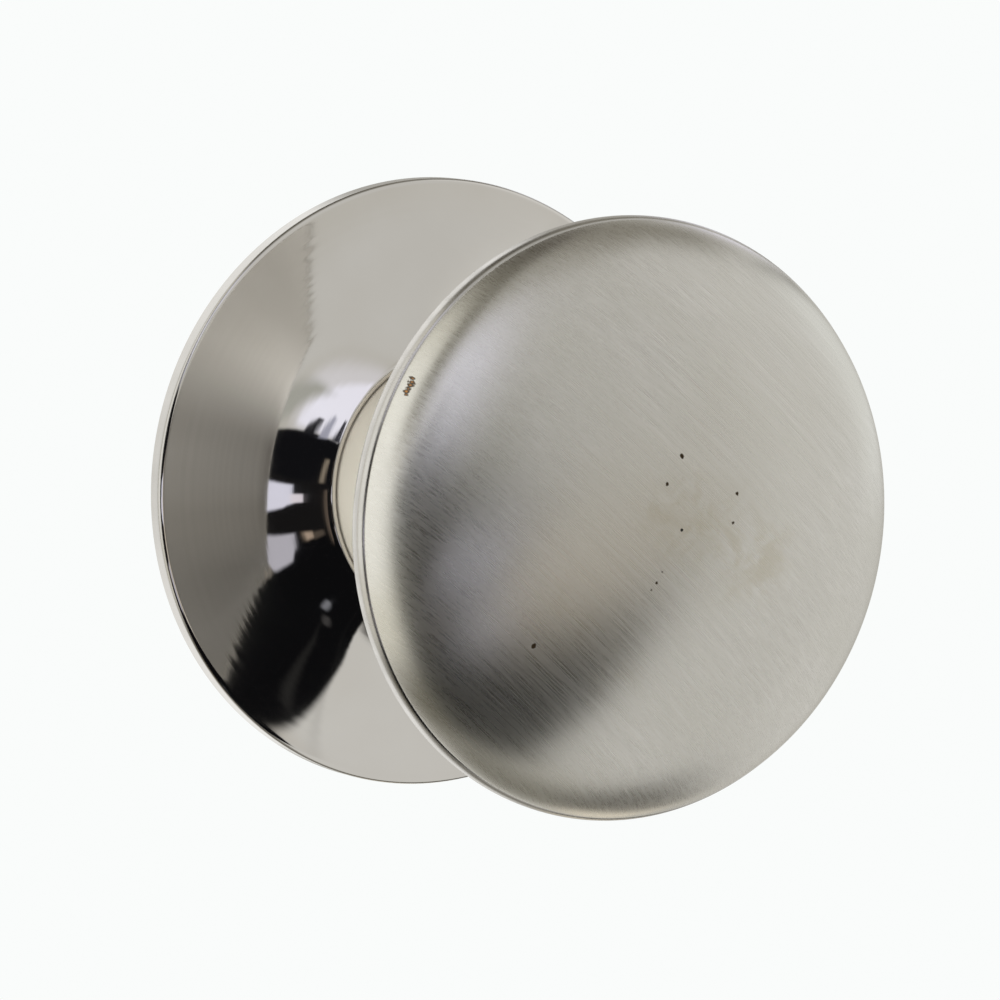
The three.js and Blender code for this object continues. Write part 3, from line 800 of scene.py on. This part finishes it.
# Each row: corners (azimuth, elevation), display colour seen in the metal, softness in degrees.
SURROUNDINGS = [
    # the room all round
    ([(35, 62), (118, 62), (118, -58), (35, -58)], (199, 196, 189), 14),
    ([(84, 30), (121, 30), (121, -3), (84, -3)], (222, 221, 215), 7),
    ([(-60, -62), (60, -62), (120, -62), (180, -62), (-120, -62)], (116, 112, 101), 8),
    ([(-40, 60), (40, 60), (120, 60), (180, 60), (-120, 60)], (152, 148, 137), 8),
    ([(110, 62), (132, 47), (180, 48), (-130, 50), (-104, 66), (-90, 82), (90, 82)], (76, 70, 61), 6),
    ([(80, 46), (112, 38), (150, 52), (120, 82), (50, 82)], (122, 117, 105), 7),
    ([(162, 45), (-148, 45), (-152, -50), (158, -50)], (252, 249, 242), 5),
    ([(126, 30), (143, 31), (142, 10), (131, 14)], (240, 236, 244), 2.5),
    ([(96, 38), (102, 37), (129, 16), (123, 14)], (104, 100, 92), 2.5),
    ([(128, -42), (150, -42), (152, -66), (132, -64)], (240, 228, 205), 5),
    ([(52, -50), (124, -42), (132, -78), (40, -82)], (92, 89, 82), 7),
    # bright side wall on the left, with a dark edge towards the front
    ([(-66, 64), (-66, -33), (-134, -33), (-134, 64)], (218, 213, 198), 9),
    ([(-67, 44), (-67, -16), (-126, -16), (-126, 44)], (243, 240, 231), 7),
    ([(-62, -38), (-62, -62), (-122, -62), (-122, -38)], (102, 97, 83), 8),
    ([(-154, 54), (-70, 58), (-64, 88), (-164, 88)], (96, 91, 78), 6),
    ([(-76, 82), (-54, 82), (-54, 22), (-73, 22)], (110, 106, 94), 3),
    # light panel high on the left, its soft edge, and the grey ceiling
    ([(-53, 56), (-14, 58), (-10, 22), (-20, 12), (-53, 20)], (200, 197, 197), 6),
    ([(-52, 53), (-28, 52), (-21, 30), (-22, 13), (-34, 17), (-52, 20)], (226, 224, 232), 2.5),
    ([(-8, 60), (36, 62), (36, 8), (-6, 8)], (183, 180, 173), 6),
    ([(-24, 31), (-17, 29), (-4, 13), (-10, 8), (-15, 11)], (156, 155, 146), 3),
    # pale floor of the room to the right, and the dark front of the room
    ([(0, -12), (60, -10), (60, -56), (-10, -56)], (190, 187, 180), 5),
    ([(-66, 21), (-28, 16), (-20, 12), (-8, 6), (2, 1), (2, -3), (-66, -3)], (15, 15, 17), 0.8),
    ([(-50, 20), (-47, 31), (-42, 31), (-41, 18)], (44, 44, 50), 1.2),
    ([(-33, 15), (-31.5, 23), (-29, 22), (-27, 14)], (22, 22, 25), 0.8),
    ([(-39, 18), (-36.5, 27), (-34, 28), (-34.5, 16)], (150, 150, 162), 1.0),
    ([(-66, -1), (2, -1), (0, -22), (-66, -24)], (20, 19, 19), 0.8),
    ([(-12, -3), (22, -3), (24, -14), (-6, -19)], (174, 165, 151), 3),
    ([(-66, -52), (0, -54), (10, -56), (6, -63), (-20, -66), (-66, -65)], (52, 49, 44), 3),
    ([(-66, -17), (-3, -20), (-12, -59.2), (-66, -62)], (11, 11, 12), 0.5),
    ([(-4, -20), (24.5, -10.6), (-12, -59.2), (-14, -50)], (11, 11, 12), 0.5),
    # windows and lamps in the dark
    ([(-30, -3), (-8, -3), (-8, -9.4), (-25, -10), (-30, -9)], (205, 203, 214), 0.6),
    ([(-35, -6), (-29, -6), (-29, -9), (-35, -9)], (208, 200, 205), 0.5),
    ([(-28, -18.5), (-10, -14), (-4, -16), (-6, -20.5), (-20, -25), (-26, -23)], (168, 165, 171), 0.7),
    ([(-36, -20.5), (-32, -19.5), (-32, -23), (-36, -23)], (156, 138, 120), 0.9),
    ([(-42, -21.5), (-36, -21), (-36, -24), (-42, -24)], (72, 64, 56), 0.9),
    ([(-45, 10), (-43, 10), (-42.5, -1), (-44.5, -1)], (128, 117, 102), 1.0),
    ([(-47.5, -4), (-45.5, -4), (-44, -30), (-46, -28)], (90, 79, 69), 0.9),
    ([(-18, -41.5), (-13, -40), (-13, -43), (-18, -44)], (112, 112, 116), 1.1),
    ([(-9, -40), (-4, -39), (-4, -42), (-9, -43)], (58, 56, 55), 1.1),
    ([(-6, -39), (-3, -37), (20, -18.6), (18, -19.5)], (46, 45, 43), 0.9),
    ([(3, -43), (6, -40), (21, -21), (20, -22.5)], (38, 37, 35), 0.9),
]
# Colour of the ground behind and below the knob.
PALE = (0.955, 0.972, 0.964)


def studio_world():
    """The surroundings that the metal reflects; the camera itself sees a plain pale ground."""
    world = bpy.data.worlds.new("studio")
    bpy.context.scene.world = world
    world.use_nodes = True
    world.cycles.sampling_method = "NONE"
    tree = world.node_tree
    tree.nodes.clear()
    ray = node(tree, "ShaderNodeTexCoord").outputs["Generated"]
    colour = rgb(*seen(176, 172, 163))
    for corners, shade, soft in SURROUNDINGS:
        colour = mix(tree, patch_mask(tree, ray, corners, soft), colour, rgb(*seen(*shade)))
    lit = node(tree, "ShaderNodeBackground", {"Color": colour, "Strength": 1.0})
    shown = node(tree, "ShaderNodeBackground", {"Color": rgb(*PALE), "Strength": 1.0})
    to_camera = node(tree, "ShaderNodeLightPath").outputs["Is Camera Ray"]
    choice = node(tree, "ShaderNodeMixShader", {0: to_camera, 1: lit.outputs[0], 2: shown.outputs[0]})
    node(tree, "ShaderNodeOutputWorld", {"Surface": choice.outputs[0]})


def studio_floor():
    """Large plain pale floor well below the knob, which hangs in the open as on a door."""
    half, height = 30000.0, -480.0
    corners = [(-half, -half, height), (half, -half, height), (half, half, height), (-half, half, height)]
    floor = mesh_object("floor", corners, [(0, 1, 2, 3)])
    material = bpy.data.materials.new("floor_white")
    material.use_nodes = True
    tree = material.node_tree
    tree.nodes.clear()
    glow = node(tree, "ShaderNodeEmission", {"Color": rgb(*PALE), "Strength": 1.0})
    node(tree, "ShaderNodeOutputMaterial", {"Surface": glow.outputs[0]})
    floor.data.materials.append(material)
    floor.visible_glossy = False


# ---------------------------------------------------------------- camera at the photograph's angle
def camera():
    """Stands 30 degrees to the left and 6.3 up, aimed off centre to frame the knob as the photo does."""
    target = Vector((0, -30 * MM, 0))
    turn, tilt, distance = radians(-30), radians(6.3), 0.700
    back = Vector((sin(turn) * cos(tilt), -cos(turn) * cos(tilt), sin(tilt)))
    place = target + back * distance
    right = Vector((cos(turn), sin(turn), 0))
    up = back.cross(right)
    aim = target - right * 6.44 * MM + up * 0.74 * MM
    data = bpy.data.cameras.new("camera")
    data.lens = 244.08
    data.sensor_width = 36
    data.clip_start = 0.01
    data.clip_end = 200
    obj = bpy.data.objects.new("camera", data)
    bpy.context.scene.collection.objects.link(obj)
    obj.location = place
    obj.rotation_euler = (aim - place).to_track_quat("-Z", "Y").to_euler()
    bpy.context.scene.camera = obj


# ---------------------------------------------------------------- build
NICKEL_FACE = polished_nickel("polished_nickel_face", 1.0, 0.0)
NICKEL_SIDE = polished_nickel("polished_nickel_side", 0.6, 0.8)
NICKEL_BEAD = polished_nickel("polished_nickel_bead", 0.6, 0.8, 0.78, 0.2)
# The rim's copy is darkened to 0.71 of the face's colour: painted shade, standing in for the darker
# surroundings the real rim reflects.
NICKEL_RIM_SHADED = polished_nickel("polished_nickel_rim_shaded", 0.6, 0.8, 0.71, 0.12)
TURNED = turned_nickel()
SATIN = satin_nickel()
ZINC = steel("zinc_steel", (0.52, 0.53, 0.55), (0.68, 0.69, 0.70), 0.4, (3.0, 3.0, 0.5))
BRIGHT = steel("bright_steel", (0.48, 0.485, 0.49), (0.60, 0.605, 0.61), 0.27, (6.0, 0.25, 6.0))
BRASS = steel("brass", (0.60, 0.44, 0.19), (0.76, 0.58, 0.29), 0.3, (0.4, 3.0, 3.0))
BLACK = steel("black_oxide", (0.020, 0.020, 0.024), (0.055, 0.055, 0.060), 0.42, (1.0, 1.0, 1.0))
SPRING = steel("spring_steel", (0.26, 0.27, 0.29), (0.42, 0.43, 0.45), 0.32, (0.3, 2.0, 2.0))
NYLON = nylon()
FINISHES = {"zinc_steel": ZINC, "bright_steel": BRIGHT, "brass": BRASS, "black_oxide": BLACK,
            "nylon": NYLON, "polished_nickel": NICKEL_SIDE, "satin_nickel": SATIN, "spring_steel": SPRING}

rose_cover(NICKEL_FACE, NICKEL_RIM_SHADED)
dome_shell(SATIN)
back_shell(TURNED, NICKEL_BEAD)
for number, screw_angle in enumerate(SCREW_ANGLES, 1):
    wood_screw(number, screw_angle, ZINC)
square_spindle(BRIGHT)
spring_cup(ZINC)
base_plate(ZINC)
clip_ring(NYLON)
stem(BRIGHT)
return_spring(SPRING)

for cad_object in nodes.values():
    slots = cad_object.material_slots
    for entry in slots:
        key = entry.material.name.split(".")[0]
        entry.material = FINISHES.get(key, ZINC)

studio_world()
studio_floor()
camera()
scene = bpy.context.scene
scene.view_settings.view_transform = "Standard"
